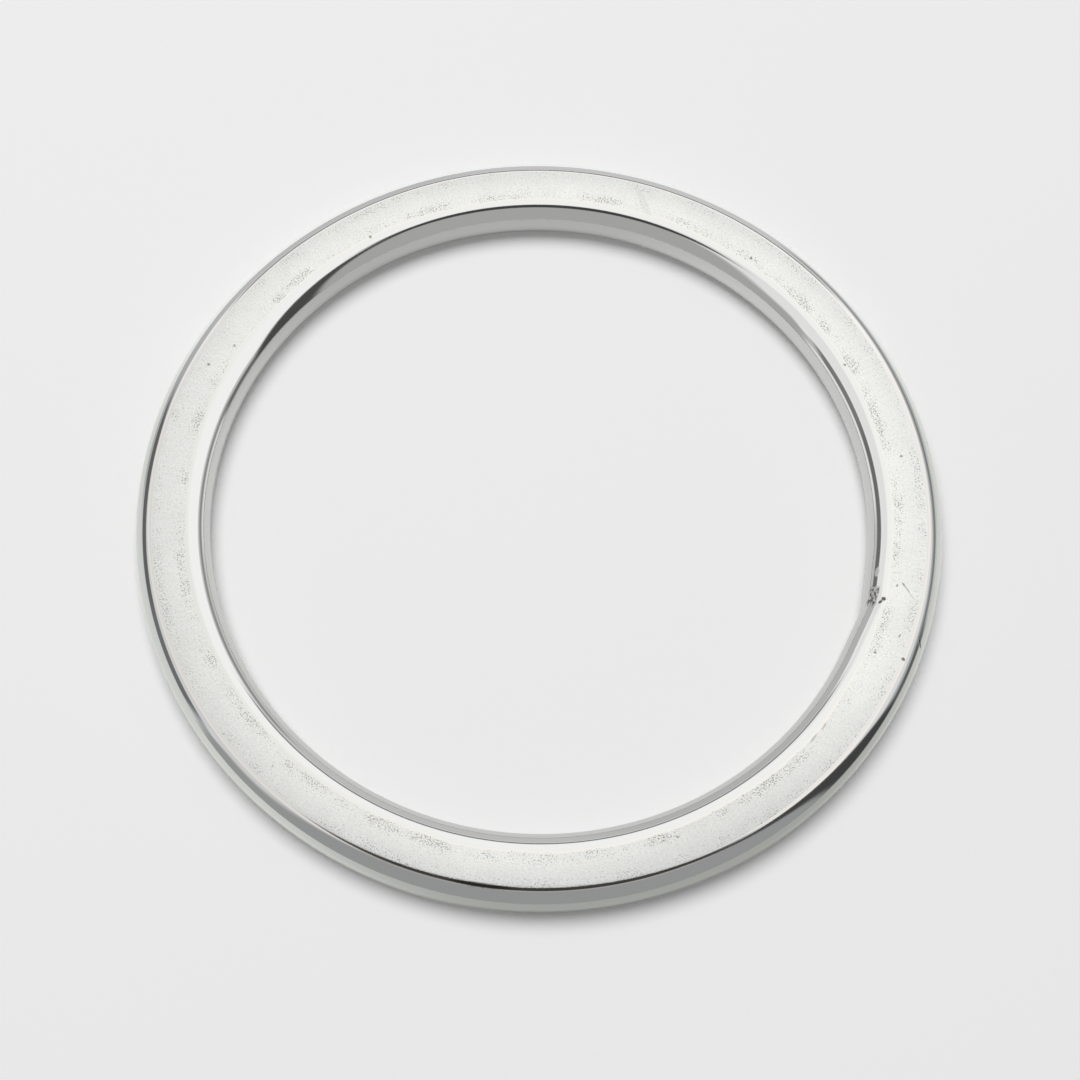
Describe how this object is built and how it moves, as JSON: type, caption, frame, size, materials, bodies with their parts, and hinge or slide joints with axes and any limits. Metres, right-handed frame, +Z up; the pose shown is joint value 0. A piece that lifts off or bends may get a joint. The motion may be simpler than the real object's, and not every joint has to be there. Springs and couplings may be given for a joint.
{
  "type": "flat ring washer",
  "caption": "Flat ring washer of round-cornered flat bar bent to a circle, with level faces, rounded sides and one skewed butt weld.",
  "frame": {"origin": "centre of the hole in the plane of the lower face", "axes": "+Z up along the hole's axis, out of the upper face; the closing weld is at azimuth -16 degrees from +X at the hole's edge"},
  "size_m": [0.055, 0.055, 0.003],
  "materials": {
    "plated_steel": "bright plated steel: satin pitted faces, smooth reflective rounded sides",
    "weld_metal": "butt weld dressed level and plated over, slightly duller, with small pits at the hole side"
  },
  "bodies": {
    "root": {"ring_bar": "plated_steel", "butt_weld": "weld_metal"}
  },
  "joints": []
}
